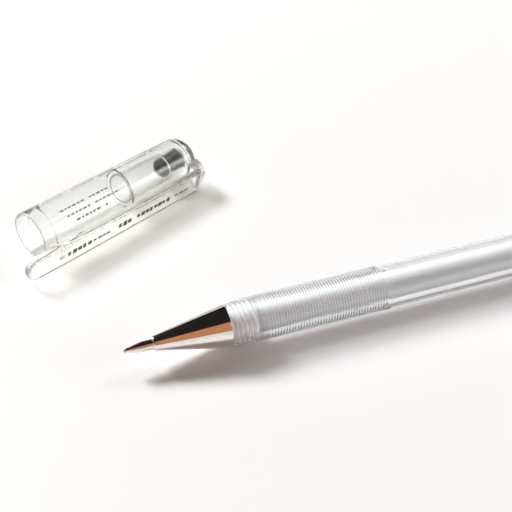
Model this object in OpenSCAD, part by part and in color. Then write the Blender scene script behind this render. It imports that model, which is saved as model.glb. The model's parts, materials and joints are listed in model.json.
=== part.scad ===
// Clear gel pen lying uncapped on a table, with its clear cap beside it.
// The pen's axis is the X axis, with the tip towards -X and the tail towards +X, and +Z up.
// The origin is on that axis, where the plain rear length of the barrel begins.
// Distances along the pen are measured from the centre of the writing ball.

/* [Pen] */
// Outer diameter of the barrel
barrel_d = 10; // [9.8:0.1:10.2]
// Diameter of the barrel's main bore
bore_d = 8.2; // [8:0.1:8.4]
// Length of the pen without its cap, from the ball to the tail
pen_length = 142; // [138:1:146]
// Diameter of the barrel's neck where it meets the cone
neck_d = 9.2; // [9:0.1:9.4]
// Number of grip rings
ring_count = 46; // [30:1:46]
// Distance from one grip ring to the next
ring_pitch = 0.65; // [0.6:0.01:0.65]
// Depth of the groove between two grip rings
ring_depth = 0.1; // [0.05:0.01:0.15]

/* [Tip] */
// Diameter of the writing ball
ball_d = 0.8; // [0.7:0.1:0.9]
// Diameter of the metal point's shaft
shaft_d = 2.3; // [2.1:0.1:2.3]
// Diameter of the cone's front end
cone_front_d = 3.3; // [3.3:0.1:3.6]
// Length of the cone's thread inside the barrel
thread_length = 6; // [5:0.5:6]

/* [Refill] */
// Outer diameter of the ink tube
tube_d = 6.2; // [6:0.1:6.3]
// Inner diameter of the ink tube
tube_bore_d = 4.4; // [4.2:0.1:4.6]
// Length of the ink left in the tube
ink_length = 74; // [50:1:90]

/* [Cap] */
// Outer diameter of the cap's tube
cap_d = 11.6; // [11.4:0.1:12]
// Diameter of the cap's bore
cap_bore_d = 10.3; // [10.3:0.1:10.5]
// Length of the cap, from its mouth to its closed end
cap_length = 52; // [50:1:56]
// Angle between the cap lying on the table and the pen
cap_angle = 27; // [20:1:35]
// Width of the clip
clip_w = 7; // [6:0.5:8]
// Thickness of the clip
clip_t = 2; // [1.8:0.1:2.2]
// How far the clip's free end reaches past the mouth
clip_overhang = 8; // [0:0.5:10]

/* [Hidden] */
$fn = 96;

clearance = 0.08;          // running clearance of pieces that turn or slide

// Stations along the pen, from the centre of the ball
cone_front = 5.6;
cone_rear = 21.6;
neck_end = 26;
rings_start = 27;
lug_at = 57.75;            // three bumps stand behind the last grip ring
lug_band_end = 58.3;
origin_at = 59.5;
plain_start = 58.9;        // the outer wall keeps one radius from here to the tail
holder_front = 10.5;
holder_step = 14;
holder_flange = 19.5;
tube_front = 20.2;
ink_front = 26.2;
follower_length = 8;
plug_front = pen_length - 13.5;
plug_flange = pen_length - 5;
tube_rear = plug_front + 3.5;

barrel_r = barrel_d / 2;
bore_r = bore_d / 2;
neck_r = neck_d / 2;
thread_r = 3.9;            // wall of the smooth bore that stands for the barrel's inner thread
stub_r = thread_r - clearance;
tube_r = tube_d / 2;
tube_bore_r = tube_bore_d / 2;
ball_r = ball_d / 2;
shaft_r = shaft_d / 2;
stem_r = 0.9;              // rear stem of the metal point, pressed into the holder
channel_r = 0.45;          // ink channel through the holder and the point
rings_end = rings_start + ring_count * ring_pitch;
edge_taper = 0.05;         // the grip and the band with the bumps narrow this much towards the tip

// Stations along the cap, from its mouth
cap_r = cap_d / 2;
cap_bore_r = cap_bore_d / 2;
mouth_lip = 3.6;           // depth of the wider lead-in at the mouth
sleeve_front = 27.5;
cap_end_wall = 2.6;
cap_inner_end = cap_length - cap_end_wall;
dome_r = 4;                // rounding of the closed end
sleeve_r = 3.8;
sleeve_bore_r = 3.2;
seal_r = 2.6;
seal_front = cap_length - 10.4;

clip_out_r = 10;           // from the cap's axis to the clip's outer face
clip_round = 0.7;          // rounding of the clip's long edges
knuckle_r = clip_t / 2;
knuckle_at = cap_length - 5.5;
knuckle_out = clip_out_r - knuckle_r;

// The cap rests on its tube and on the lower outer edge of the clip
clip_reach = norm([clip_out_r - clip_round, clip_w / 2 - clip_round]);
clip_lean = atan2(clip_w / 2 - clip_round, clip_out_r - clip_round);
clip_roll = asin((cap_r - clip_round) / clip_reach) - clip_lean;
cap_place = [-origin_at - 10.9, 46.4, cap_r - barrel_r];

clear_plastic = [0.93, 0.95, 0.94, 0.45];
white_ink = [0.97, 0.97, 0.96];

// A turned piece about the X axis; each point is [radius, distance from the ball]
module turned(points) {
    translate([-origin_at, 0, 0])
        rotate([0, 90, 0])
            rotate_extrude() polygon(points);
}

// The same for a piece of the cap, whose stations start at the mouth
module turned_cap(points) {
    rotate([0, 90, 0])
        rotate_extrude() polygon(points);
}

// Puts a piece of the cap where the cap lies, with the clip down towards the pen
module lie_as_cap() {
    translate(cap_place)
        rotate([0, 0, cap_angle])
            rotate([clip_roll, 0, 0])
                children();
}

// Points on a quarter circle, from the angle at the rim to the axis
function quarter(centre_r, centre_x, radius, steps) =
    [for (i = [0:steps]) [centre_r + radius * cos(90 * i / steps), centre_x + radius * sin(90 * i / steps)]];

// ---- pen ----

function ring_points() = [
    for (i = [0:ring_count - 1])
        each [
            [barrel_r, rings_start + i * ring_pitch],
            [barrel_r - ring_depth, rings_start + (i + 0.5) * ring_pitch]
        ]
];

module barrel() {
    color(clear_plastic) {
        turned(concat(
            [[thread_r, cone_rear + 0.05], [neck_r, cone_rear + 0.05], [neck_r, cone_rear + 1],
                [barrel_r - edge_taper, neck_end]],
            ring_points(),
            [
                [barrel_r - edge_taper, rings_end],
                [barrel_r - edge_taper, lug_band_end],
                [barrel_r, plain_start],
                [barrel_r, plug_flange],
                [bore_r, plug_flange],
                [bore_r, cone_rear + thread_length + 1],
                [thread_r, cone_rear + thread_length + 0.5]
            ]
        ));
        for (a = [0:120:240]) rotate([a, 0, 0]) lug();
    }
}

// A low round bump, the first of them on top of the barrel
module lug() {
    lug_r = 0.7;
    lug_rise = 0.2;
    lug_root = 0.4;
    translate([lug_at - origin_at, 0, 0])
        intersection() {
            translate([0, 0, barrel_r + lug_rise - lug_r]) sphere(r = lug_r, $fn = 24);
            translate([-lug_r, -lug_r, barrel_r - lug_root]) cube([2 * lug_r, 2 * lug_r, 1]);
        }
}

module tail_plug() {
    edge_r = 1.2;
    flange_r = barrel_r - 0.1;
    recess_r = tube_r + 0.2;
    color(white_ink)
        turned(concat(
            [
                [0, plug_front + 5],
                [recess_r, plug_front + 5],
                [recess_r, plug_front],
                [bore_r - 0.3, plug_front],
                [bore_r, plug_front + 0.6],
                [bore_r, plug_flange],
                [flange_r, plug_flange]
            ],
            quarter(flange_r - edge_r, pen_length - edge_r, edge_r, 6),
            [[0, pen_length]]
        ));
}

module tip_cone() {
    lip = 0.25;
    bore = shaft_r + clearance;
    color("silver")
        turned([
            [bore, cone_front],
            [cone_front_d / 2 - lip, cone_front],
            [cone_front_d / 2, cone_front + lip],
            [neck_r - 0.1, cone_rear - 0.3],
            [neck_r, cone_rear - 0.15],
            [neck_r, cone_rear],
            [stub_r, cone_rear],
            [stub_r, cone_rear + thread_length - 0.4],
            [stub_r - 0.3, cone_rear + thread_length],
            [tube_r + 0.2, cone_rear + thread_length],
            [tube_r + 0.2, tube_front],
            [1.95, holder_step],
            [1.95, holder_front - 0.2],
            [bore, holder_front - 0.2]
        ]);
}

module tip_holder() {
    holder_r = 1.8;
    color("white")
        turned([
            [stem_r, holder_front],
            [holder_r, holder_front],
            [holder_r, holder_step + 0.2],
            [tube_r - 0.05, holder_flange],
            [tube_r - 0.05, tube_front],
            [tube_bore_r, tube_front],
            [tube_bore_r, ink_front - 0.4],
            [tube_bore_r - 0.4, ink_front],
            [channel_r, ink_front],
            [channel_r, holder_front + 3],
            [stem_r, holder_front + 3]
        ]);
}

module writing_tip() {
    socket_r = ball_r + 0.03;
    lip_at = -0.16;
    color("lightgray")
        difference() {
            turned([
                [0, lip_at],
                [ball_r + 0.06, lip_at],
                [ball_r + 0.14, 0.3],
                [shaft_r - 0.1, 2.8],
                [shaft_r, 3],
                [shaft_r, holder_front],
                [stem_r, holder_front],
                [stem_r, holder_front + 3],
                [channel_r, holder_front + 3],
                [channel_r, 1.6],
                [0.15, 1],
                [0.15, 0.2],
                [0, 0.2]
            ]);
            translate([-origin_at, 0, 0]) sphere(r = socket_r, $fn = 48);
        }
}

module tip_ball() {
    color("dimgray")
        translate([-origin_at, 0, 0]) sphere(r = ball_r, $fn = 48);
}

module refill_tube() {
    color([0.95, 0.96, 0.96, 0.6])
        turned([
            [tube_bore_r, tube_front],
            [tube_r, tube_front],
            [tube_r, tube_rear],
            [tube_bore_r, tube_rear]
        ]);
}

module ink_column() {
    color(white_ink)
        turned([
            [0, ink_front],
            [tube_bore_r, ink_front],
            [tube_bore_r, ink_front + ink_length],
            [0, ink_front + ink_length]
        ]);
}

module ink_follower() {
    follower_r = tube_bore_r - 0.06;
    follower_front = ink_front + ink_length;
    color([0.9, 0.88, 0.8, 0.7])
        turned([
            [0, follower_front],
            [follower_r, follower_front],
            [follower_r, follower_front + follower_length],
            [0, follower_front + follower_length - 0.8]
        ]);
}

// ---- cap ----

module cap_shell() {
    step_r = cap_bore_r - 0.25;
    inner_round = 2;
    color(clear_plastic)
        lie_as_cap() {
            turned_cap(concat(
                [
                    [cap_bore_r + 0.2, 0],
                    [cap_r - 0.15, 0],
                    [cap_r, 0.3]
                ],
                quarter(cap_r - dome_r, cap_length - dome_r, dome_r, 10),
                [[0, cap_length]],
                [[0, cap_inner_end]],
                [for (i = [0:5]) let (a = 90 - 18 * i)
                    [step_r - inner_round + inner_round * cos(a), cap_inner_end - inner_round + inner_round * sin(a)]],
                [
                    [step_r, sleeve_front + 0.5],
                    [cap_bore_r, sleeve_front],
                    [cap_bore_r, mouth_lip + 0.3],
                    [cap_bore_r + 0.2, mouth_lip]
                ]
            ));
            clip_root();
        }
}

// The block on the closed end that carries the clip, with a round seat for its knuckle
module clip_root() {
    root_w = clip_w - 1;
    difference() {
        intersection() {
            translate([knuckle_at, -clip_out_r, -root_w / 2])
                cube([cap_length - knuckle_at - 0.8, clip_out_r - cap_bore_r + 0.1, root_w]);
            translate([knuckle_at - 3, -cap_bore_r + 0.5, -clip_w])
                linear_extrude(2 * clip_w) root_outline();
        }
        translate([knuckle_at, -knuckle_out, -clip_w])
            cylinder(r = knuckle_r + clearance, h = 2 * clip_w);
        translate([knuckle_at - 1, -clip_out_r - 1, -clip_w])
            cube([1 + 0.3, clip_t + 1.2, 2 * clip_w]);
    }
}

// Side view of the root: it slopes down to the dome of the closed end
module root_outline() {
    reach = clip_out_r - cap_bore_r + 0.5;
    polygon([
        [0, 0],
        [0, -reach],
        [5.2, -reach],
        [cap_length - knuckle_at + 1.3, -2.4],
        [cap_length - knuckle_at + 1.3, 0]
    ]);
}

module inner_cap() {
    flare = 0.35;
    color([0.95, 0.96, 0.96, 0.6])
        lie_as_cap()
            turned_cap([
                [sleeve_bore_r + flare, sleeve_front + 0.6],
                [sleeve_r + flare, sleeve_front + 0.6],
                [sleeve_r, sleeve_front + 3],
                [sleeve_r, cap_inner_end - 2.2],
                [sleeve_r - 1, cap_inner_end],
                [0, cap_inner_end],
                [0, cap_inner_end - 1.4],
                [seal_r, cap_inner_end - 1.4],
                [seal_r, seal_front + 1],
                [sleeve_bore_r, seal_front + 1],
                [sleeve_bore_r, sleeve_front + 3]
            ]);
}

// Soft plug that closes the ball off when the cap is on, with a groove round its middle
module tip_seal() {
    seal_rear = cap_inner_end - 1.4;
    groove_at = (seal_front + seal_rear) / 2 + 0.4;
    cup_r = 0.9;
    color([0.08, 0.08, 0.09])
        lie_as_cap()
            turned_cap([
                [0, seal_front + 0.8],
                [cup_r, seal_front],
                [seal_r - 0.3, seal_front],
                [seal_r, seal_front + 0.4],
                [seal_r, groove_at - 0.3],
                [seal_r - 0.7, groove_at - 0.2],
                [seal_r - 0.7, groove_at + 0.2],
                [seal_r, groove_at + 0.3],
                [seal_r, seal_rear],
                [0, seal_rear]
            ]);
}

// Section of the clip across its length, with rounded corners; X is its thickness
module clip_section() {
    translate([-clip_t / 2 + clip_round, -clip_w / 2]) square([clip_t - 2 * clip_round, clip_w]);
    translate([-clip_t / 2, -clip_w / 2 + clip_round]) square([clip_t, clip_w - 2 * clip_round]);
    for (x = [-1, 1], y = [-1, 1])
        translate([x * (clip_t / 2 - clip_round), y * (clip_w / 2 - clip_round)]) circle(r = clip_round, $fn = 32);
}

module cap_clip() {
    end_r = clip_w / 2;
    nub_r = 0.9;
    nub_at = 2.5;
    color(clear_plastic)
        lie_as_cap() {
            intersection() {
                translate([knuckle_at, -knuckle_out, 0])
                    rotate([0, -90, 0]) rotate([0, 0, 90])
                        linear_extrude(knuckle_at + clip_overhang) clip_section();
                union() {
                    translate([-clip_overhang + end_r, -clip_out_r - 1, -clip_w])
                        cube([knuckle_at + clip_overhang, clip_t + 2, 2 * clip_w]);
                    translate([-clip_overhang + end_r, -clip_out_r - 1, 0])
                        rotate([-90, 0, 0]) cylinder(r = end_r, h = clip_t + 2);
                }
            }
            translate([knuckle_at, -knuckle_out, -clip_w / 2 + clip_round])
                cylinder(r = knuckle_r, h = clip_w - 2 * clip_round);
            translate([nub_at, -clip_out_r + clip_t, -clip_w / 4])
                cylinder(r = nub_r, h = clip_w / 2, $fn = 32);
        }
}

barrel();
tail_plug();
tip_cone();
refill_tube();
ink_column();
ink_follower();
tip_holder();
writing_tip();
tip_ball();
cap_shell();
inner_cap();
tip_seal();
cap_clip();
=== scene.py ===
# A clear gel pen lying uncapped on a pale table, with its clear cap beside it.
import json
import math

import bmesh
import bpy
from mathutils import Matrix, Vector


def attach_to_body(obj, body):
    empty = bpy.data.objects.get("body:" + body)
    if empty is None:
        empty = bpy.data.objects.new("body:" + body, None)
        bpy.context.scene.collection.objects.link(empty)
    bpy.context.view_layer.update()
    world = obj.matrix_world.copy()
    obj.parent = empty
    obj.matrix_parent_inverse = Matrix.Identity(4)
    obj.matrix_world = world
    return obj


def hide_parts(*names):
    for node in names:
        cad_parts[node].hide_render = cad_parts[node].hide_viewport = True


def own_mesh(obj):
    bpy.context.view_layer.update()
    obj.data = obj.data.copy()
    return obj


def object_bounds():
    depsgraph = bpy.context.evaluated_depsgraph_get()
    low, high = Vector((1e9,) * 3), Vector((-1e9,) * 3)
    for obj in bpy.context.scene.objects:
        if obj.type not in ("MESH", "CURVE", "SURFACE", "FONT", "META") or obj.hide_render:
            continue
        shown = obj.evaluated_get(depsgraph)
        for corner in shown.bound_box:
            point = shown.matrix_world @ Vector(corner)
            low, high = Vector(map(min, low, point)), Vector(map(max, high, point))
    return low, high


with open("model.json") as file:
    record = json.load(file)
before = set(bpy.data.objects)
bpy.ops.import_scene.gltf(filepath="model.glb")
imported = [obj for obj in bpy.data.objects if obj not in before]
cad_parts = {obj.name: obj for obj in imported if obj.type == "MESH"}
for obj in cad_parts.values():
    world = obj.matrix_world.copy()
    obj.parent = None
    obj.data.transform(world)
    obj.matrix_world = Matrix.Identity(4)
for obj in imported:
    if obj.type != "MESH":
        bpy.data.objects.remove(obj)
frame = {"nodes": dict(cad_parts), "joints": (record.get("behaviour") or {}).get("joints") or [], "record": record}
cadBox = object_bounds()
mm = 0.001
joints = {joint["name"]: joint for joint in frame["joints"]}
mounts = {mount["name"]: mount for mount in frame["record"]["mounts"]}
print("frame loaded:", len(frame["nodes"]), "CAD nodes")

# Places along the pen are counted in mm from the ball, and along the cap from its mouth
ballAt = Vector(joints["ball_roll"]["pos_m"])
penPlace = Matrix.Translation(ballAt)
mouthToMount = 15.7 * mm
capAlong = -Vector(mounts["cap_mouth"]["axis"]).normalized()
capAcross = Vector(joints["clip_flex"]["axis"]).normalized()
capUp = capAcross.cross(capAlong)
capMouth = Vector(mounts["cap_mouth"]["pos_m"]) - capAlong * mouthToMount
capPlace = Matrix.Translation(capMouth) @ Matrix((capAlong, capUp, capAcross)).transposed().to_4x4()
tableTop = cadBox[0].z


# Camera, table and light

cameraSet = {
    "place": (-0.08525, -0.13516, 0.12261),
    "turn": 21.72,         # degrees to the right of +Y
    "down": 36.14,         # degrees below level
    "roll": 0.5,
    "lens": 63.3,
}


def makeCamera(setting):
    data = bpy.data.cameras.new("camera")
    data.lens = setting["lens"]
    data.sensor_width = 36
    data.clip_start = 0.005
    data.clip_end = 20
    camera = bpy.data.objects.new("camera", data)
    bpy.context.scene.collection.objects.link(camera)
    aim = Matrix.Rotation(math.radians(-setting["turn"]), 4, "Z")
    aim = aim @ Matrix.Rotation(math.radians(90 - setting["down"]), 4, "X")
    aim = aim @ Matrix.Rotation(math.radians(setting["roll"]), 4, "Z")
    camera.matrix_world = Matrix.Translation(setting["place"]) @ aim
    bpy.context.scene.camera = camera


makeCamera(cameraSet)


def nodeMaterial(name):
    material = bpy.data.materials.new(name)
    material.use_nodes = True
    nodes = material.node_tree.nodes
    nodes.clear()
    return material, nodes, material.node_tree.links


def addNode(nodes, kind, **values):
    node = nodes.new(kind)
    for key, value in values.items():
        if key in node.inputs:
            node.inputs[key].default_value = value
        else:
            setattr(node, key, value)
    return node


def finishMaterial(nodes, links, shader):
    out = addNode(nodes, "ShaderNodeOutputMaterial")
    links.new(shader, out.inputs["Surface"])


def bumped(nodes, links, body, height, strength, distance):
    bump = addNode(nodes, "ShaderNodeBump", Strength=strength, Distance=distance)
    links.new(height, bump.inputs["Height"])
    links.new(bump.outputs["Normal"], body.inputs["Normal"])


tableSet = {"half": 1.5, "colour": (0.93, 0.93, 0.922, 1), "roughness": 0.5}


def makeTable(setting):
    mesh = bpy.data.meshes.new("tableTop")
    build = bmesh.new()
    bmesh.ops.create_grid(build, x_segments=24, y_segments=24, size=setting["half"])
    build.to_mesh(mesh)
    build.free()
    table = bpy.data.objects.new("tableTop", mesh)
    bpy.context.scene.collection.objects.link(table)
    table.location.z = tableTop
    material, nodes, links = nodeMaterial("whiteTable")
    place = addNode(nodes, "ShaderNodeTexCoord")
    speckle = addNode(nodes, "ShaderNodeTexNoise", Scale=900.0, Detail=4.0)
    links.new(place.outputs["Object"], speckle.inputs["Vector"])
    surface = addNode(nodes, "ShaderNodeBsdfPrincipled", Roughness=setting["roughness"])
    surface.inputs["Base Color"].default_value = setting["colour"]
    surface.inputs["Specular IOR Level"].default_value = 0.2
    bumped(nodes, links, surface, speckle.outputs["Fac"], 0.02, 0.0002)
    finishMaterial(nodes, links, surface.outputs[0])
    mesh.materials.append(material)


makeTable(tableSet)

lightSet = {
    "window": {"place": (-1.13, 2.13, 1.79), "size": (0.7, 0.8), "power": 114.0,
               "colour": (0.985, 0.995, 1.0)},
    "side": {"place": (2.2, 1.05, 1.7), "size": (1.1, 1.1), "power": 22.0,
             "colour": (0.98, 0.995, 1.0)},
    "strip": {"place": (2.66, -0.95, 0.86), "size": (1.7, 0.9), "power": 20.0,
              "colour": (0.96, 0.99, 1.0)},
}
aimAt = Vector((0.0, 0.02, 0.0))


def makeSoftbox(name, setting):
    data = bpy.data.lights.new(name, "AREA")
    data.shape = "RECTANGLE"
    data.size, data.size_y = setting["size"]
    data.energy = setting["power"]
    data.color = setting["colour"]
    light = bpy.data.objects.new(name, data)
    bpy.context.scene.collection.objects.link(light)
    place = Vector(setting["place"])
    turn = (aimAt - place).to_track_quat("-Z", "Y").to_matrix().to_4x4()
    light.matrix_world = Matrix.Translation(place) @ turn
    light.visible_camera = False


for lightName, lightValues in lightSet.items():
    makeSoftbox(lightName, lightValues)

roomSet = {
    "dark": (0.018, 0.016, 0.015, 1),      # the upper part of the room
    "front": (0.55, 0.235, 0.115, 1),      # a warm wall behind the viewer
    "pale": (0.8, 0.795, 0.78, 1),         # a low pale strip all round
    "seen": (0.95, 0.945, 0.93, 1),        # what shows past the table's edge
    "paleTop": 0.27,                       # heights are sines of the elevation
    "frontFrom": 0.19,
    "frontTop": 0.84,
    "frontWidth": 0.34,
    "blur": 0.06,                          # how gently the pale strip ends
    "edge": 0.03,                          # and the warm wall's top
}


def ramp(nodes, links, value, low, high):
    # 0 at low and 1 at high, smoothly
    step = addNode(nodes, "ShaderNodeMapRange", interpolation_type="SMOOTHSTEP")
    step.inputs["From Min"].default_value = low
    step.inputs["From Max"].default_value = high
    links.new(value, step.inputs["Value"])
    return step.outputs[0]


def times(nodes, links, first, second):
    product = addNode(nodes, "ShaderNodeMath", operation="MULTIPLY")
    links.new(first, product.inputs[0])
    links.new(second, product.inputs[1])
    return product.outputs[0]


def mixed(nodes, links, share, first, second):
    # first where share is 0 and second where it is 1; each is a colour or an output
    mix = addNode(nodes, "ShaderNodeMix", data_type="RGBA")
    links.new(share, mix.inputs[0])
    for name, value in (("A", first), ("B", second)):
        socket = [one for one in mix.inputs if one.type == "RGBA" and one.name == name][0]
        if isinstance(value, bpy.types.NodeSocket):
            links.new(value, socket)
        else:
            socket.default_value = value
    return [one for one in mix.outputs if one.type == "RGBA"][0]


def makeRoom(setting):
    world = bpy.data.worlds.new("room")
    bpy.context.scene.world = world
    world.use_nodes = True
    nodes = world.node_tree.nodes
    links = world.node_tree.links
    nodes.clear()
    place = addNode(nodes, "ShaderNodeTexCoord")
    split = addNode(nodes, "ShaderNodeSeparateXYZ")
    links.new(place.outputs["Generated"], split.inputs[0])
    aside = addNode(nodes, "ShaderNodeMath", operation="ABSOLUTE")
    links.new(split.outputs["X"], aside.inputs[0])
    height = split.outputs["Z"]
    width, top, bottom = setting["frontWidth"], setting["frontTop"], setting["frontFrom"]
    blur, edge = setting["blur"], setting["edge"]
    front = ramp(nodes, links, split.outputs["Y"], 0.0, -0.2)
    for value, outside, inside in (
        (aside.outputs[0], width + 2 * blur, width - 0.08),
        (height, top + edge, top - edge),
        (height, bottom - 0.02, bottom + 0.02),
    ):
        front = times(nodes, links, front, ramp(nodes, links, value, outside, inside))
    low = ramp(nodes, links, height, setting["paleTop"] + blur, setting["paleTop"] - blur)
    tone = mixed(nodes, links, low, setting["dark"], setting["pale"])
    tone = mixed(nodes, links, front, tone, setting["front"])
    lit = addNode(nodes, "ShaderNodeBackground")
    links.new(tone, lit.inputs["Color"])
    seen = addNode(nodes, "ShaderNodeBackground")
    seen.inputs["Color"].default_value = setting["seen"]
    path = addNode(nodes, "ShaderNodeLightPath")
    pick = addNode(nodes, "ShaderNodeMixShader")
    links.new(path.outputs["Is Camera Ray"], pick.inputs[0])
    links.new(lit.outputs[0], pick.inputs[1])
    links.new(seen.outputs[0], pick.inputs[2])
    out = addNode(nodes, "ShaderNodeOutputWorld")
    links.new(pick.outputs[0], out.inputs["Surface"])


makeRoom(roomSet)

scene = bpy.context.scene
scene.view_settings.view_transform = "Standard"
scene.view_settings.look = "None"
scene.cycles.use_denoising = True
scene.cycles.max_bounces = 28
scene.cycles.transmission_bounces = 24
scene.cycles.transparent_max_bounces = 32
scene.cycles.glossy_bounces = 10
scene.cycles.diffuse_bounces = 4
scene.cycles.sample_clamp_indirect = 2.0
print("camera, table and lights made")


# Materials


def stretchedNoise(nodes, links, scale, stretch, detail=3.0):
    # noise in object space, drawn out along the piece by stretch
    place = addNode(nodes, "ShaderNodeTexCoord")
    shape = addNode(nodes, "ShaderNodeMapping")
    shape.inputs["Scale"].default_value = stretch
    noise = addNode(nodes, "ShaderNodeTexNoise", Scale=scale, Detail=detail)
    links.new(place.outputs["Object"], shape.inputs["Vector"])
    links.new(shape.outputs[0], noise.inputs["Vector"])
    return noise.outputs["Fac"]


def ranged(nodes, links, value, low, high):
    spread = addNode(nodes, "ShaderNodeMapRange")
    spread.inputs["From Min"].default_value = 0.3
    spread.inputs["From Max"].default_value = 0.7
    spread.inputs["To Min"].default_value = low
    spread.inputs["To Max"].default_value = high
    links.new(value, spread.inputs["Value"])
    return spread.outputs[0]


def clearPlastic(name, colour, ior, roughness, shade, edgeShade, flow=0.02, haze=0.06):
    # clear moulded plastic: faint flow lines and scuffs, and lamps shine through it a little dimmed
    material, nodes, links = nodeMaterial(name)
    body = addNode(nodes, "ShaderNodeBsdfPrincipled", IOR=ior)
    body.inputs["Base Color"].default_value = colour
    body.inputs["Transmission Weight"].default_value = 1.0 - haze
    scuffs = stretchedNoise(nodes, links, 1400.0, (0.3, 1, 1), 5.0)
    links.new(ranged(nodes, links, scuffs, roughness[0], roughness[1]), body.inputs["Roughness"])
    bumped(nodes, links, body, stretchedNoise(nodes, links, 700.0, (0.04, 1, 1), 2.0), flow, 0.0004)
    facing = addNode(nodes, "ShaderNodeLayerWeight", Blend=0.35)
    through = addNode(nodes, "ShaderNodeBsdfTransparent")
    links.new(mixed(nodes, links, facing.outputs["Facing"], shade, edgeShade), through.inputs["Color"])
    path = addNode(nodes, "ShaderNodeLightPath")
    pick = addNode(nodes, "ShaderNodeMixShader")
    links.new(path.outputs["Is Shadow Ray"], pick.inputs[0])
    links.new(body.outputs[0], pick.inputs[1])
    links.new(through.outputs[0], pick.inputs[2])
    finishMaterial(nodes, links, pick.outputs[0])
    return material


def plainPlastic(name, colour, roughness, mottle=0.03, soft=0.0):
    # opaque moulded plastic or gel: slight mottling and an uneven shine
    material, nodes, links = nodeMaterial(name)
    body = addNode(nodes, "ShaderNodeBsdfPrincipled")
    cloud = stretchedNoise(nodes, links, 500.0, (0.4, 1, 1))
    darker = [value * (1 - mottle * 3) for value in colour[:3]] + [1]
    tint = mixed(nodes, links, ranged(nodes, links, cloud, 0.0, 1.0), colour, darker)
    links.new(tint, body.inputs["Base Color"])
    links.new(ranged(nodes, links, cloud, roughness[0], roughness[1]), body.inputs["Roughness"])
    body.inputs["Subsurface Weight"].default_value = soft
    body.inputs["Subsurface Radius"].default_value = (0.001, 0.001, 0.001)
    bumped(nodes, links, body, stretchedNoise(nodes, links, 4000.0, (1, 1, 1), 4.0), 0.04, 0.0001)
    finishMaterial(nodes, links, body.outputs[0])
    return material


def turnedMetal(name, colour, roughness, ringScale, ringStrength):
    # metal turned on a lathe: fine rings round its axis, and worn patches
    material, nodes, links = nodeMaterial(name)
    body = addNode(nodes, "ShaderNodeBsdfPrincipled", Metallic=1.0)
    wear = stretchedNoise(nodes, links, 900.0, (0.5, 1, 1), 6.0)
    dull = [value * 0.9 for value in colour[:3]] + [1]
    tint = mixed(nodes, links, ranged(nodes, links, wear, 0.0, 1.0), colour, dull)
    links.new(tint, body.inputs["Base Color"])
    links.new(ranged(nodes, links, wear, roughness[0], roughness[1]), body.inputs["Roughness"])
    rings = stretchedNoise(nodes, links, ringScale, (1, 0.02, 0.02), 2.0)
    bumped(nodes, links, body, rings, ringStrength, 0.00005)
    finishMaterial(nodes, links, body.outputs[0])
    return material


barrelClear = clearPlastic("barrelClear", (0.985, 0.99, 0.995, 1), 1.53, (0.0, 0.03),
                           (0.9, 0.905, 0.91, 1), (0.6, 0.6, 0.61, 1), haze=0.03)
# painted shade: the ribs' troughs get a grey-tinted clear plastic, darker than the barrel, so the ribs read as
# shaded grooves
paintedGrooveShade = clearPlastic("paintedGrooveShade", (0.76, 0.765, 0.775, 1), 1.53, (0.0, 0.05),
                           (0.9, 0.905, 0.91, 1), (0.7, 0.7, 0.71, 1), haze=0.02)
capClear = clearPlastic("capClear", (0.992, 0.992, 0.985, 1), 1.46, (0.03, 0.09),
                        (0.8, 0.8, 0.785, 1), (0.45, 0.45, 0.44, 1), haze=0.015)
sleeveClear = clearPlastic("sleeveClear", (0.985, 0.985, 0.975, 1), 1.42, (0.08, 0.18),
                           (0.75, 0.75, 0.73, 1), (0.4, 0.4, 0.39, 1), haze=0.01)
edgeFrost = clearPlastic("edgeFrost", (0.99, 0.99, 0.98, 1), 1.5, (0.25, 0.4),
                         (0.75, 0.75, 0.73, 1), (0.4, 0.4, 0.39, 1), haze=0.35)
tubeMilky = clearPlastic("tubeMilky", (0.97, 0.975, 0.985, 1), 1.49, (0.12, 0.22),
                         (0.93, 0.935, 0.94, 1), (0.75, 0.75, 0.77, 1), flow=0.05)
greaseClear = clearPlastic("greaseClear", (0.96, 0.93, 0.8, 1), 1.46, (0.02, 0.1),
                           (0.9, 0.87, 0.76, 1), (0.7, 0.66, 0.5, 1), flow=0.1)
whiteInk = plainPlastic("whiteInk", (0.82, 0.82, 0.825, 1), (0.25, 0.4), 0.01)
whiteMoulding = plainPlastic("whiteMoulding", (0.86, 0.86, 0.85, 1), (0.25, 0.38), 0.02, soft=0.1)
sealRubber = plainPlastic("sealRubber", (0.025, 0.025, 0.027, 1), (0.45, 0.65), 0.1)
markInk = plainPlastic("markInk", (0.03, 0.03, 0.032, 1), (0.35, 0.5), 0.05)
paleMarkInk = plainPlastic("paleMarkInk", (0.3, 0.3, 0.29, 1), (0.4, 0.55), 0.05)
coneChrome = turnedMetal("coneChrome", (0.93, 0.9, 0.87, 1), (0.03, 0.09), 6000.0, 0.02)
threadWhite = plainPlastic("threadWhite", (0.93, 0.93, 0.93, 1), (0.3, 0.45), 0.01)
tipSteel = turnedMetal("tipSteel", (0.86, 0.84, 0.81, 1), (0.06, 0.14), 9000.0, 0.12)
ballCarbide = turnedMetal("ballCarbide", (0.3, 0.3, 0.31, 1), (0.08, 0.16), 9000.0, 0.05)
print("materials made")


# Mesh helpers
smoothBelow = 38           # degrees; edges sharper than this stay sharp


def softened(points, steps=4):
    # an outline of (along, radius) points; a third number on a point rounds that corner
    out = []
    for number, point in enumerate(points):
        if len(point) < 3:
            out.append(tuple(point))
            continue
        here = Vector(point[:2])
        back = Vector(points[number - 1][:2]) - here
        on = Vector(points[(number + 1) % len(points)][:2]) - here
        reach = min(point[2], 0.45 * back.length, 0.45 * on.length)
        start = here + back.normalized() * reach
        end = here + on.normalized() * reach
        for step in range(steps + 1):
            part = step / steps
            bend = start * (1 - part) ** 2 + here * 2 * part * (1 - part) + end * part ** 2
            out.append(tuple(bend))
    return out


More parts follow.
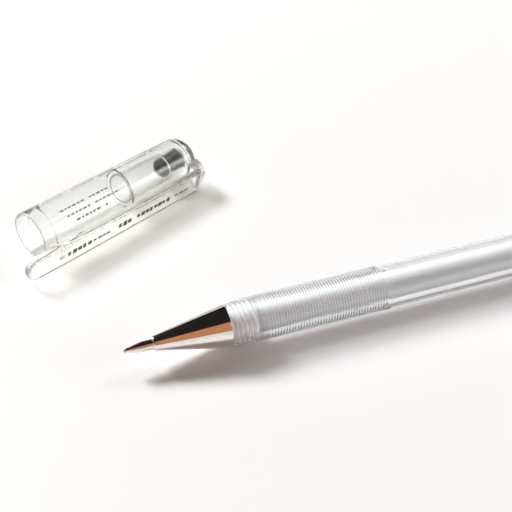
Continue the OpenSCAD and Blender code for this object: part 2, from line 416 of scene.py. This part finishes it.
def arc(centreAlong, centreRadius, radius, fromDegrees, toDegrees, steps):
    # points on a circle in the outline's plane; 0 degrees points along the piece and 90 outwards
    angles = [math.radians(turn) for turn in evenly(fromDegrees, toDegrees, steps)]
    return [(centreAlong + radius * math.cos(a), centreRadius + radius * math.sin(a)) for a in angles]


def evenly(start, end, count):
    return [start + (end - start) * n / count for n in range(count + 1)]


def smoothed(mesh):
    mesh.shade_smooth()
    mesh.set_sharp_from_angle(angle=math.radians(smoothBelow))


def finishPiece(name, build, place, material):
    bmesh.ops.recalc_face_normals(build, faces=build.faces[:])
    mesh = bpy.data.meshes.new(name)
    build.to_mesh(mesh)
    build.free()
    mesh.transform(place)
    mesh.materials.append(material)
    smoothed(mesh)
    piece = bpy.data.objects.new(name, mesh)
    bpy.context.scene.collection.objects.link(piece)
    return piece


def turned(name, outline, place, material, segments=144, swell=None, closed=True):
    # turns an outline of (along, radius) in mm about the X axis of place;
    # swell gives what to add to the radius at a place along, a radius and an angle
    build = bmesh.new()
    angles = [2 * math.pi * number / segments for number in range(segments)]
    rings = []
    for along, radius in outline:
        if radius < 1e-6:
            rings.append([build.verts.new((along * mm, 0, 0))])
            continue
        ring = []
        for angle in angles:
            reach = (radius + (swell(along, radius, angle) if swell else 0)) * mm
            ring.append(build.verts.new((along * mm, reach * math.cos(angle), reach * math.sin(angle))))
        rings.append(ring)
    following = rings[1:] + rings[:1] if closed else rings[1:]
    for near, far in zip(rings, following):
        if len(near) == 1 and len(far) == 1:
            continue
        for number in range(segments):
            after = (number + 1) % segments
            corners = [near[number % len(near)], near[after % len(near)]]
            corners += [far[after % len(far)], far[number % len(far)]]
            unique = [corner for spot, corner in enumerate(corners) if corner not in corners[:spot]]
            build.faces.new(unique)
    return finishPiece(name, build, place, material)


def layered(name, rows, place, material):
    # a closed solid from rows of corners in mm: sides between the rows and a face over each end
    build = bmesh.new()
    levels = [[build.verts.new(Vector(corner) * mm) for corner in row] for row in rows]
    for near, far in zip(levels, levels[1:]):
        for number in range(len(near)):
            after = (number + 1) % len(near)
            build.faces.new((near[number], near[after], far[after], far[number]))
    build.faces.new(levels[0])
    build.faces.new(levels[-1])
    return finishPiece(name, build, place, material)


def joined(piece, blank):
    # makes the blank one with the piece
    union = piece.modifiers.new("union", "BOOLEAN")
    union.operation = "UNION"
    union.object = blank
    union.solver = "EXACT"
    bpy.context.view_layer.update()
    shape = piece.evaluated_get(bpy.context.evaluated_depsgraph_get())
    made = bpy.data.meshes.new_from_object(shape)
    piece.modifiers.clear()
    piece.data = made
    smoothed(made)
    bpy.data.objects.remove(blank)


def faced(piece, place, material, inside):
    # gives the faces whose centre, in mm from place, passes the test another material
    piece.data.materials.append(material)
    back = place.inverted()
    for face in piece.data.polygons:
        if inside((back @ face.center) / mm):
            face.material_index = 1


def attach(piece, body, node=None):
    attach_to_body(piece, body)
    if node:
        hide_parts(node)


# Pen
barrelSet = {
    "radius": 4.99, "bore": 4.1, "neck": 4.59, "threadBore": 3.9,
    "front": 21.65, "neckEnd": 22.6, "shoulder": 26.0, "threadBoreEnd": 28.2,
    "rings": 46, "ringPitch": 0.65, "ringDepth": 0.1, "ringsFrom": 27.0,
    "bumps": 3, "bumpAt": 57.75, "bumpRise": 0.2, "bumpSpread": 0.62,
    "rear": 137.0,
}
threadSet = {"pitch": 1.0, "depth": 0.32, "stub": 3.82, "stubLength": 6.0, "room": 0.12}


def threadShape(along, angle):
    # 0 in the root and 1 on the crest of a right-hand thread with rounded flanks
    turn = (along / threadSet["pitch"] - angle / (2 * math.pi)) % 1.0
    rise = 0.5 - 0.5 * math.cos(2 * math.pi * turn)
    return min(1.0, max(0.0, (rise - 0.2) / 0.6))


def makeBarrel(setting):
    radius, front, rear = setting["radius"], setting["front"], setting["rear"]
    threadBore, threadEnd = setting["threadBore"], setting["threadBoreEnd"]
    bumpAt, spread = setting["bumpAt"], setting["bumpSpread"]
    pitch, ringsFrom = setting["ringPitch"], setting["ringsFrom"]
    ringSteps, threadSteps = 6, 66
    outline = softened([(front, threadBore, 0.1), (front, setting["neck"], 0.2)])
    outline += [(setting["neckEnd"], setting["neck"])]
    outline += softened([
        (setting["neckEnd"], setting["neck"]),
        (setting["shoulder"], radius - 0.05, 0.8),
        (ringsFrom, radius),
    ])[1:-1]
    for step in range(setting["rings"] * ringSteps + 1):
        wave = 0.5 - 0.5 * math.cos(2 * math.pi * step / ringSteps)
        outline.append((ringsFrom + step * pitch / ringSteps, radius - 0.02 - setting["ringDepth"] * wave))
    outline += [(along, radius) for along in evenly(bumpAt - spread, bumpAt + spread, 12)]
    outline += [(along, radius) for along in evenly(60, rear - 0.3, 12)]
    outline += [(rear, radius - 0.2), (rear, setting["bore"])]
    outline += [(along, setting["bore"]) for along in evenly(rear - 2, threadEnd + 0.3, 16)]
    outline += [(along, threadBore) for along in evenly(threadEnd - 0.1, front + 0.2, threadSteps)]

    def swell(along, reach, angle):
        if reach > setting["neck"] + 0.3:
            rise = 0
            for bump in range(setting["bumps"]):
                turn = angle - math.radians(90 + 360 / setting["bumps"] * bump)
                aside = (turn + math.pi) % (2 * math.pi) - math.pi
                off = math.hypot(along - bumpAt, aside * radius) / spread
                rise += setting["bumpRise"] * max(0.0, 1 - off * off) ** 0.75
            return rise
        if abs(reach - threadBore) < 1e-6 and front + 0.3 < along < threadEnd - 0.2:
            fade = min(1.0, (along - front - 0.3) / 0.5)
            return threadSet["room"] * fade * threadShape(along, angle)
        return 0

    def inGroove(spot):
        into = (spot.x - ringsFrom) / pitch
        outside = spot.yz.length > setting["neck"] - 0.09
        return outside and 0 < into < setting["rings"] and 0.25 < into % 1.0 < 0.75

    barrel = turned("clearBarrel", outline, penPlace, barrelClear, segments=192, swell=swell)
    # painted shade in the grooves: the ribs' trough faces take the grey-tinted plastic
    faced(barrel, penPlace, paintedGrooveShade, inGroove)
    attach(barrel, "barrel", "barrel")


makeBarrel(barrelSet)
print("barrel turned")

coneSet = {
    "front": 5.6, "frontRadius": 1.65, "rear": 21.6, "rearRadius": 4.59,
    "bore": 1.23, "boreEnd": 10.3, "hollow": 1.95, "hollowEnd": 14.0, "inside": 3.3, "insideFrom": 20.2,
}


def makeCone(setting):
    front, rear = setting["front"], setting["rear"]
    stub, stubEnd = threadSet["stub"], rear + threadSet["stubLength"]
    outline = softened([
        (front, setting["bore"], 0.08),
        (front, setting["frontRadius"], 0.22),
        (rear - 0.2, setting["rearRadius"] - 0.01),
        (rear, setting["rearRadius"], 0.08),
        (rear, stub),
    ])
    outline += [(along, stub) for along in evenly(rear + 0.15, stubEnd - 0.5, 60)]
    outline += softened([
        (stubEnd, stub - 0.3, 0.15),
        (stubEnd, setting["inside"], 0.08),
        (setting["insideFrom"], setting["inside"]),
        (setting["hollowEnd"], setting["hollow"]),
        (setting["boreEnd"], setting["hollow"]),
        (setting["boreEnd"], setting["bore"]),
    ])

    def swell(along, reach, angle):
        if abs(reach - stub) > 1e-6 or along < rear + 0.1:
            return 0
        fade = min(1.0, (stubEnd - 0.4 - along) / 0.6, (along - rear) / 0.4)
        return -threadSet["depth"] * (1 - max(0.0, fade) * threadShape(along, angle))

    cone = turned("chromeCone", outline, penPlace, coneChrome, segments=192, swell=swell)
    faced(cone, penPlace, threadWhite, lambda spot: spot.x > rear + 0.05)
    attach(cone, "cone", "tip_cone")


makeCone(coneSet)

pointSet = {
    "socket": 0.43, "socketDepth": 0.5, "lip": 0.46, "lipAt": -0.16, "shoulderAt": 3.2, "shoulder": 1.12,
    "shaft": 1.15, "rear": 10.5, "stem": 0.9, "stemLength": 3.0, "channel": 0.45, "duct": 0.15,
}


def makePoint(setting):
    lipAt, shoulderAt, rear = setting["lipAt"], setting["shoulderAt"], setting["rear"]
    outline = softened([
        (0.05, setting["socket"]),
        (lipAt, setting["socket"] - 0.02),
        (lipAt, setting["lip"], 0.03),
        (0.35, 0.54, 0.1),
        (shoulderAt, setting["shoulder"], 0.25),
        (shoulderAt + 0.4, setting["shaft"], 0.1),
        (rear, setting["shaft"], 0.1),
        (rear, setting["stem"]),
        (rear + setting["stemLength"], setting["stem"], 0.1),
        (rear + setting["stemLength"], setting["channel"]),
        (1.6, setting["channel"]),
        (1.0, setting["duct"]),
        (setting["socketDepth"], setting["duct"]),
        (setting["socketDepth"], 2 * setting["duct"]),
    ])
    point = turned("metalPoint", outline, penPlace, tipSteel, segments=96)
    attach(point, "refill", "writing_tip")


makePoint(pointSet)

refillSet = {
    "tube": 3.1, "bore": 2.2, "front": 20.2, "rear": 132.0,
    "inkFrom": 26.2, "inkLength": 74.0, "follower": 8.0, "gap": 0.02,
}


def makeRefillTube(setting):
    outline = softened([
        (setting["front"], setting["bore"], 0.05), (setting["front"], setting["tube"], 0.15),
        (setting["rear"], setting["tube"], 0.15), (setting["rear"], setting["bore"], 0.05),
    ])
    tube = turned("refillTube", outline, penPlace, tubeMilky, segments=128)
    attach(tube, "refill", "refill_tube")


def makeInk(setting):
    start, length = setting["inkFrom"], setting["inkLength"]
    radius = setting["bore"] + 0.004               # the ink wets the tube's wall
    outline = [(start, 0)]
    outline += [(along, radius) for along in evenly(start, start + length, 8)]
    outline += [(start + length, 0)]
    ink = turned("inkColumn", outline, penPlace, whiteInk, segments=96, closed=False)
    attach(ink, "refill", "ink_column")
    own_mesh(ink)


def makeFollower(setting):
    start = setting["inkFrom"] + setting["inkLength"]
    end = start + setting["follower"]
    radius = setting["bore"] - 0.06
    outline = [(start + setting["gap"], 0), (start + setting["gap"], radius), (end, radius)]
    outline += [(end - 0.25, radius * 0.8), (end - 0.6, radius * 0.45), (end - 0.75, 0)]
    follower = turned("greaseFollower", outline, penPlace, greaseClear, segments=96, closed=False)
    attach(follower, "follower", "ink_follower")


makeRefillTube(refillSet)
makeInk(refillSet)
makeFollower(refillSet)

holderSet = {
    "front": 10.5, "nose": 1.8, "noseEnd": 14.2, "collarFrom": 19.5, "collar": 3.05, "collarEnd": 20.2,
    "plug": 2.2, "rear": 26.2, "channel": 0.45, "socket": 0.9, "socketEnd": 13.5,
}


def makeHolder(setting):
    rear, plug = setting["rear"], setting["plug"]
    outline = softened([
        (setting["front"], setting["socket"]),
        (setting["front"], setting["nose"], 0.1),
        (setting["noseEnd"], setting["nose"]),
        (setting["collarFrom"], setting["collar"]),
        (setting["collarEnd"], setting["collar"], 0.05),
        (setting["collarEnd"], plug),
        (rear - 0.4, plug - 0.01, 0.2),
        (rear, plug - 0.4, 0.1),
        (rear, setting["channel"]),
        (setting["socketEnd"], setting["channel"]),
        (setting["socketEnd"], setting["socket"]),
    ])
    holder = turned("tipHolder", outline, penPlace, whiteMoulding, segments=96)
    attach(holder, "refill", "tip_holder")


makeHolder(holderSet)

plugSet = {
    "front": 128.5, "flange": 137.02, "rear": 142.0, "radius": 4.89, "spigot": 4.09,
    "recess": 3.3, "recessDepth": 5.0, "dish": 2.3, "dishDepth": 0.35, "vent": 0.6, "ventDepth": 2.0,
}


def makePlug(setting):
    front, flange, rear = setting["front"], setting["flange"], setting["rear"]
    radius, spigot, recess = setting["radius"], setting["spigot"], setting["recess"]
    dishAt, ventEnd = rear - setting["dishDepth"], rear - setting["ventDepth"]
    outline = softened([
        (front + setting["recessDepth"], 0),
        (front + setting["recessDepth"], recess),
        (front, recess, 0.1),
        (front, spigot - 0.3, 0.1),
        (front + 0.6, spigot, 0.2),
        (flange, spigot),
        (flange, radius, 0.12),
        (rear - 1.6, radius, 0.3),
        (rear, radius - 1.1, 1.1),
        (rear, setting["dish"] + 0.3, 0.1),
        (dishAt, setting["dish"], 0.1),
        (dishAt, setting["vent"], 0.08),
        (ventEnd, setting["vent"]),
        (ventEnd, 0),
    ], steps=6)
    plug = turned("tailPlug", outline, penPlace, whiteMoulding, segments=128, closed=False)
    attach(plug, "barrel", "tail_plug")


makePlug(plugSet)

ball = frame["nodes"]["tip_ball"]
ball.data.materials.clear()
ball.data.materials.append(ballCarbide)
print("pen pieces made")


# Cap
capSet = {
    "radius": 5.79, "bore": 5.15, "lip": 5.35, "lipDepth": 3.6, "lipTaper": 1.6,
    "length": 52.0, "endWall": 2.6, "dome": 4.0, "step": 4.9, "stepAt": 27.5,
    "outer": 10.0, "knuckleAt": 46.5, "knuckle": 1.0, "seatRoom": 0.08,
    "rootWidth": 6.0, "rootLength": 3.79, "rootInside": 4.7,
}


def rootBlock(setting):
    # the block on the closed end that carries the clip, drawn from the side and rounded
    # towards its flanks, with a round seat for the knuckle
    at, outer, inside = setting["knuckleAt"], -setting["outer"] + 0.01, -setting["rootInside"]
    end, ledge = at + setting["rootLength"], outer + 2.2
    seatAt = setting["knuckle"] - setting["outer"]
    side = [(at, inside), (at, ledge), (at + 0.3, ledge)]
    side += arc(at, seatAt, setting["knuckle"] + setting["seatRoom"], 73.8, -67.8, 14)
    side += [(at + 2.0, outer), (at + 2.3, outer + 0.1), (end - 0.09, -7.25), (end, -7.0), (end, inside)]
    half = setting["rootWidth"] / 2
    middle = Vector((at + 2.2, -7))
    flank = [(-half, 0.2), (-half + 0.06, 0.06), (-half + 0.2, 0)]
    rows = []
    for across, inset in flank + [(-across, inset) for across, inset in reversed(flank)]:
        drawnIn = [Vector(spot) + (middle - Vector(spot)).normalized() * inset for spot in side]
        rows.append([(spot.x, spot.y, across) for spot in drawnIn])
    return layered("rootBlank", rows, capPlace, capClear)


def makeCapShell(setting):
    length, radius, dome = setting["length"], setting["radius"], setting["dome"]
    lip, bore, step, stepAt = setting["lip"], setting["bore"], setting["step"], setting["stepAt"]
    innerEnd = length - setting["endWall"]
    lipInner = setting["lipDepth"] - 0.5
    outline = softened([(0, lip, 0.1), (0, radius - 0.1, 0.2), (0.3, radius)])
    outline += [(along, radius) for along in evenly(4, length - dome - 0.5, 10)]
    outline += arc(length - dome, radius - dome, dome, 90, 0, 12)[1:-1]
    outline += [(length - 0.001, radius - dome), (length - 0.001, 0), (innerEnd, 0)]
    outline += arc(innerEnd - 2, step - 2, 2, 0, 90, 8)
    outline += softened([
        (stepAt + 0.6, step, 0.2),
        (stepAt, bore, 0.2),
        (lipInner + setting["lipTaper"], bore, 0.9),
        (lipInner, lip, 0.9),
    ])
    shell = turned("capShell", outline, capPlace, capClear, segments=160)
    joined(shell, rootBlock(setting))
    block, blockFrom = radius + 0.06, setting["knuckleAt"] - 0.05
    faced(shell, capPlace, edgeFrost,
          lambda spot: spot.x < 0.28 or (spot.x > blockFrom and spot.yz.length > block))
    attach(shell, "cap", "cap_shell")


makeCapShell(capSet)

sleeveSet = {
    "front": 28.1, "radius": 3.8, "bore": 3.2, "flare": 0.35, "flareLength": 2.4,
    "rear": 49.37, "endWall": 1.37, "seat": 2.6, "seatFrom": 42.6,
}


def makeSleeve(setting):
    front, rear, radius, bore = setting["front"], setting["rear"], setting["radius"], setting["bore"]
    seat, seatFrom, flare = setting["seat"], setting["seatFrom"], setting["flare"]
    flareEnd, floor = front + setting["flareLength"], rear - setting["endWall"]
    outline = softened([
        (front, bore + flare, 0.12),
        (front, radius + flare, 0.2),
        (flareEnd, radius, 0.6),
        (rear - 2.17, radius, 0.4),
        (rear, radius - 1, 0.3),
        (rear, 0),
        (floor, 0),
        (floor, seat),
        (seatFrom, seat, 0.1),
        (seatFrom, bore, 0.1),
        (flareEnd, bore, 0.6),
    ])
    sleeve = turned("innerSleeve", outline, capPlace, sleeveClear, segments=128)
    faced(sleeve, capPlace, edgeFrost, lambda spot: spot.x < front + 0.25)
    attach(sleeve, "cap", "inner_cap")


makeSleeve(sleeveSet)

sealSet = {
    "front": 41.6, "rear": 47.97, "radius": 2.58, "cup": 0.9,
    "grooveAt": 45.2, "groove": 0.7, "grooveWidth": 0.6,
}


def makeSeal(setting):
    front, rear, radius, cup = setting["front"], setting["rear"], setting["radius"], setting["cup"]
    floor, half = radius - setting["groove"], setting["grooveWidth"] / 2
    grooveFrom, grooveTo = setting["grooveAt"] - half, setting["grooveAt"] + half
    outline = softened([
        (front + 0.8, 0),
        (front + 0.5, cup * 0.7),
        (front, cup, 0.15),
        (front, radius - 0.3, 0.2),
        (front + 0.4, radius, 0.25),
        (grooveFrom, radius, 0.12),
        (grooveFrom + 0.1, floor, 0.1),
        (grooveTo - 0.1, floor, 0.1),
        (grooveTo, radius, 0.12),
        (rear, radius, 0.2),
        (rear, 0),
    ])
    seal = turned("sealPlug", outline, capPlace, sealRubber, segments=96, closed=False)
    attach(seal, "cap", "tip_seal")


makeSeal(sealSet)

clipSet = {
    "width": 6.98, "thick": 1.98, "corner": 0.7, "overhang": 7.98,
    "nubAt": 2.5, "nub": 0.9, "nubWidth": 3.4,
}


def clipLevel(centre, half, rootEnd):
    # one level of the clip as (along, across): straight sides, a round free end, a square root end
    straight = 10
    side = evenly(rootEnd, centre, straight)
    freeEnd = arc(centre, 0, half, 90, 270, 32)
    return [(along, half) for along in side[:-1]] + freeEnd + [(along, -half) for along in side[-2::-1]]


def clipNub(setting):
    # the small round bar under the clip that grips a pocket
    inner = setting["thick"] - capSet["outer"]
    rows = []
    for across, size in ((-0.5, 0.75), (-0.42, 0.95), (-0.3, 1), (0.3, 1), (0.42, 0.95), (0.5, 0.75)):
        circle = arc(setting["nubAt"], inner, setting["nub"] * size, 0, 360, 24)[:-1]
        rows.append([(along, out, across * setting["nubWidth"]) for along, out in circle])
    return layered("nubBlank", rows, capPlace, capClear)


def makeClip(setting):
    half, corner = setting["thick"] / 2, setting["corner"]
    middle = half - capSet["outer"]
    centre = setting["width"] / 2 - setting["overhang"]
    levels = [half - corner + corner * math.sin(math.radians(a)) for a in (90, 70, 50, 30, 15, 0)]
    levels += [-level for level in reversed(levels)]
    rows = []
    for height in levels:
        over = max(0.0, abs(height) - (half - corner))
        inset = corner - math.sqrt(max(0.0, corner * corner - over * over))
        rootEnd = capSet["knuckleAt"] + math.sqrt(max(0.0, half * half - height * height))
        level = clipLevel(centre, setting["width"] / 2 - inset, rootEnd)
        rows.append([(along, middle + height, across) for along, across in level])
    clip = layered("pocketClip", rows, capPlace, capClear)
    joined(clip, clipNub(setting))
    frostTo = 3.08 - setting["overhang"]
    faced(clip, capPlace, edgeFrost,
          lambda spot: spot.x < frostTo and abs(spot.y - middle) < half - 0.01)
    attach(clip, "clip", "cap_clip")


makeClip(clipSet)

# Rows of plain dashes; they stand for print and say nothing
clipMarkSet = {
    "depth": 0.005, "thick": 0.03, "step": 1.5,
    "groups": [(3.2, 7.6, 1.5), (11.0, 5.6, 0.8), (19.0, 4.4, 1.7), (25.0, 11.5, 1.4), (38.0, 5.0, 0.7)],
}                          # each group: start, length and height
tubeMarkSet = {
    "depth": 0.02, "thick": 0.03, "gap": 0.45, "wordGap": 1.2, "word": 6,
    "rows": [(36, 0.5, 6, 41), (-20, 0.4, 7, 21), (-38, 0.4, 8, 23), (-55, 0.5, 10, 20)],
}                          # each row: angle, height, from and to


def flatDash(build, corners, thick):
    # a thin plate between the four corners, in mm, and the same four moved by thick
    low = [build.verts.new(Vector(corner) * mm) for corner in corners]
    high = [build.verts.new((Vector(corner) + Vector(thick)) * mm) for corner in corners]
    build.faces.new(low)
    build.faces.new(high)
    for number in range(len(low)):
        after = (number + 1) % len(low)
        build.faces.new((low[number], low[after], high[after], high[number]))


def makeClipMarks(setting):
    build = bmesh.new()
    level = setting["depth"] - capSet["outer"]
    for start, length, tall in setting["groups"]:
        count = max(2, round(length / setting["step"]))
        step = length / count
        for number in range(count):
            left = start + number * step
            right = left + step * (0.8 if number % 3 else 0.62)
            half = tall / 2 * (1.0 if number % 2 else 0.8)
            corners = [(left, level, half), (right, level, half), (right, level, -half), (left, level, -half)]
            flatDash(build, corners, (0, setting["thick"], 0))
    marks = finishPiece("clipMarks", build, capPlace, markInk)
    attach(marks, "clip")


def makeTubeMarks(setting):
    build = bmesh.new()
    radius = capSet["radius"]
    for row, (angle, tall, along, last) in enumerate(setting["rows"]):
        middle, spread = math.radians(angle), tall / radius / 2
        outwards = Vector((0, math.sin(middle), math.cos(middle)))
        number = 0
        while along < last:
            length = 0.55 + 0.5 * ((number * 7 + row * 3) % 5) / 4
            corners = []
            for spot, side in ((along, -1), (along + length, -1), (along + length, 1), (along, 1)):
                turn = middle + side * spread
                reach = radius - setting["depth"]
                corners.append((spot, reach * math.sin(turn), reach * math.cos(turn)))
            flatDash(build, corners, outwards * setting["thick"])
            along += length + setting["gap"]
            number += 1
            if number % setting["word"] == 0:
                along += setting["wordGap"]
    marks = finishPiece("tubeMarks", build, capPlace, paleMarkInk)
    attach(marks, "cap")


makeClipMarks(clipMarkSet)
makeTubeMarks(tubeMarkSet)
print("cap pieces made")

print("cad box", [tuple(round(v, 5) for v in corner) for corner in cadBox])
